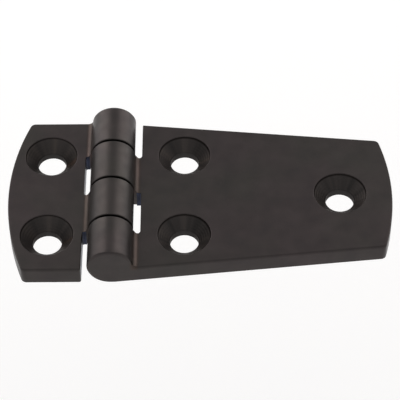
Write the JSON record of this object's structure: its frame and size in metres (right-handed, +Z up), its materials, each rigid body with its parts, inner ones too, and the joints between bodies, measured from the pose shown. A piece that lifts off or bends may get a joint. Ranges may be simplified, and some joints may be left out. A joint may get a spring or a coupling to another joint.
{
  "type": "strap hinge",
  "caption": "Heavy flush-base strap hinge with a short bowed leaf, a long tapering leaf, a closed-end knuckle barrel on a hidden pin and countersunk screw holes.",
  "frame": {"origin": "middle of the bounding box of the hinge lying flat open, on its mounting plane (z = 0, the undersides of both leaves)", "axes": "+Z up, out of the mounting surface; +X towards the tip of the long leaf; +Y along the barrel, towards its open end"},
  "size_m": [0.0754, 0.0384, 0.0087],
  "materials": {
    "leaf_finish": "satin dark bronze coating on cast stainless steel",
    "pin_steel": "bare ground stainless steel"
  },
  "bodies": {
    "short_leaf_body": {"short_leaf": "leaf_finish", "hinge_pin": "pin_steel"},
    "long_leaf_body": {"long_leaf": "leaf_finish"}
  },
  "joints": [
    {"name": "leaf_fold", "type": "hinge", "parent": "short_leaf_body", "child": "long_leaf_body", "pos_m": [-0.0173, 0, 0.00435], "axis": [0, -1, 0], "range_deg": [-100, 180]}
  ]
}
